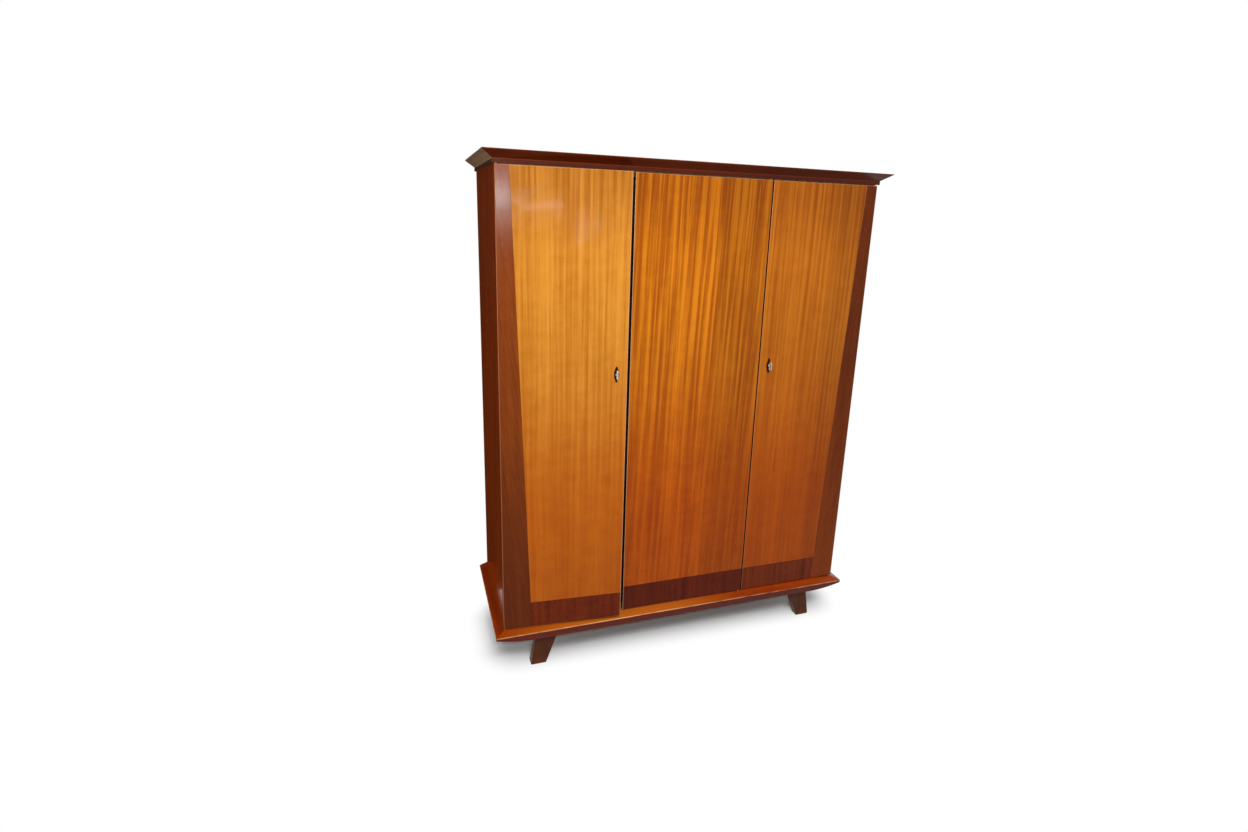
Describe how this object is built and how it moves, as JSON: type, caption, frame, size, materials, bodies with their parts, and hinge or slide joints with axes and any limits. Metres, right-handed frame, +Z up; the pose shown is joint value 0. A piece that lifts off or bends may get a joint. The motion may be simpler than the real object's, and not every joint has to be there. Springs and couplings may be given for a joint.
{
  "type": "wardrobe",
  "caption": "Veneered wardrobe with pivoting doors on a splayed-leg base: hanging space with hat shelf, linen shelves, canted cornice, keyed locks and bolts.",
  "frame": {"origin": "on the floor, in the middle of the overall width and depth, with the left door ajar as it stands at rest", "axes": "+X to the right as seen from the front, -Y towards the person who opens the doors, +Z up"},
  "size_m": [1.5, 0.5764, 1.847],
  "materials": {
    "veneer": "gloss lacquer over ribbon-striped veneer",
    "dark_wood": "gloss lacquer",
    "base_wood": "gloss lacquer",
    "leg_wood": "satin stain",
    "inner_wood": "satin",
    "frame_wood": "planed, unfinished",
    "plywood": "sanded, unfinished",
    "dowel_wood": "unfinished beech",
    "plated_steel": "nickel plated",
    "brass": "satin",
    "lock_steel": "black japanned",
    "dark_bronze": "patinated",
    "key_metal": "aged"
  },
  "bodies": {
    "carcass": {"left_side": "dark_wood", "right_side": "dark_wood", "top_panel": "inner_wood", "bottom_panel": "inner_wood", "partition": "inner_wood", "back_panel_wide": "plywood", "back_panel_narrow": "plywood", "carcass_dowels": "dowel_wood", "cornice_front": "dark_wood", "cornice_left": "dark_wood", "cornice_right": "dark_wood", "base_front": "base_wood", "base_left": "base_wood", "base_right": "base_wood", "base_back": "frame_wood", "base_blocks": "frame_wood", "leg_front_left": "leg_wood", "leg_front_right": "leg_wood", "leg_back_left": "leg_wood", "leg_back_right": "leg_wood", "leg_bolts": "plated_steel", "hat_shelf": "inner_wood", "hat_shelf_cleats": "inner_wood", "hanging_rail": "plated_steel", "rail_sockets": "plated_steel", "shelf_1": "inner_wood", "shelf_2": "inner_wood", "shelf_3": "inner_wood", "shelf_4": "inner_wood", "shelf_pins": "brass", "left_door_pins": "brass", "centre_door_pins": "brass", "right_door_pins": "brass", "lock_keeper": "brass", "bolt_keepers": "brass"},
    "left_door": {"left_door": "veneer", "left_door_sockets": "brass", "left_lock_case": "lock_steel", "left_escutcheon": "dark_bronze"},
    "left_lock_bolt": {"left_lock_bolt": "brass"},
    "left_key": {"left_key": "key_metal"},
    "centre_door": {"centre_door": "veneer", "centre_door_sockets": "brass", "closing_strip": "dark_wood", "bolt_guides": "brass"},
    "top_bolt": {"top_bolt": "plated_steel"},
    "bottom_bolt": {"bottom_bolt": "plated_steel"},
    "right_door": {"right_door": "veneer", "right_door_sockets": "brass", "right_lock_case": "lock_steel", "right_escutcheon": "dark_bronze"},
    "right_lock_bolt": {"right_lock_bolt": "brass"},
    "right_key": {"right_key": "key_metal"}
  },
  "joints": [
    {"name": "left_door_hinge", "type": "hinge", "parent": "carcass", "child": "left_door", "pos_m": [-0.703, -0.22679, 0.99], "axis": [0, 0, -1], "range_deg": [-4.5, 110]},
    {"name": "centre_door_hinge", "type": "hinge", "parent": "carcass", "child": "centre_door", "pos_m": [0.258, -0.22679, 0.99], "axis": [0, 0, 1], "range_deg": [0, 90]},
    {"name": "right_door_hinge", "type": "hinge", "parent": "carcass", "child": "right_door", "pos_m": [0.703, -0.22679, 0.99], "axis": [0, 0, 1], "range_deg": [0, 110]},
    {"name": "left_key_turn", "type": "hinge", "parent": "left_door", "child": "left_key", "pos_m": [-0.30985, -0.26576, 1.131], "axis": [0.0785, 0.9969, 0], "range_deg": [0, 360]},
    {"name": "left_lock_bolt_slide", "type": "slide", "parent": "left_door", "child": "left_lock_bolt", "axis": [0.9969, -0.0785, 0], "range_m": [0, 0.009]},
    {"name": "right_key_turn", "type": "hinge", "parent": "right_door", "child": "right_key", "pos_m": [0.308, -0.23479, 1.131], "axis": [0, -1, 0], "range_deg": [0, 360]},
    {"name": "right_lock_bolt_slide", "type": "slide", "parent": "right_door", "child": "right_lock_bolt", "axis": [-1, 0, 0], "range_m": [0, 0.009]},
    {"name": "top_bolt_slide", "type": "slide", "parent": "centre_door", "child": "top_bolt", "axis": [0, 0, 1], "range_m": [0, 0.014]},
    {"name": "bottom_bolt_slide", "type": "slide", "parent": "centre_door", "child": "bottom_bolt", "axis": [0, 0, -1], "range_m": [0, 0.014]}
  ],
  "couplings": [
    {"joint": "left_lock_bolt_slide", "follows": "left_key_turn", "m_per_rad": 0.0014323},
    {"joint": "right_lock_bolt_slide", "follows": "right_key_turn", "m_per_rad": 0.0014323}
  ]
}
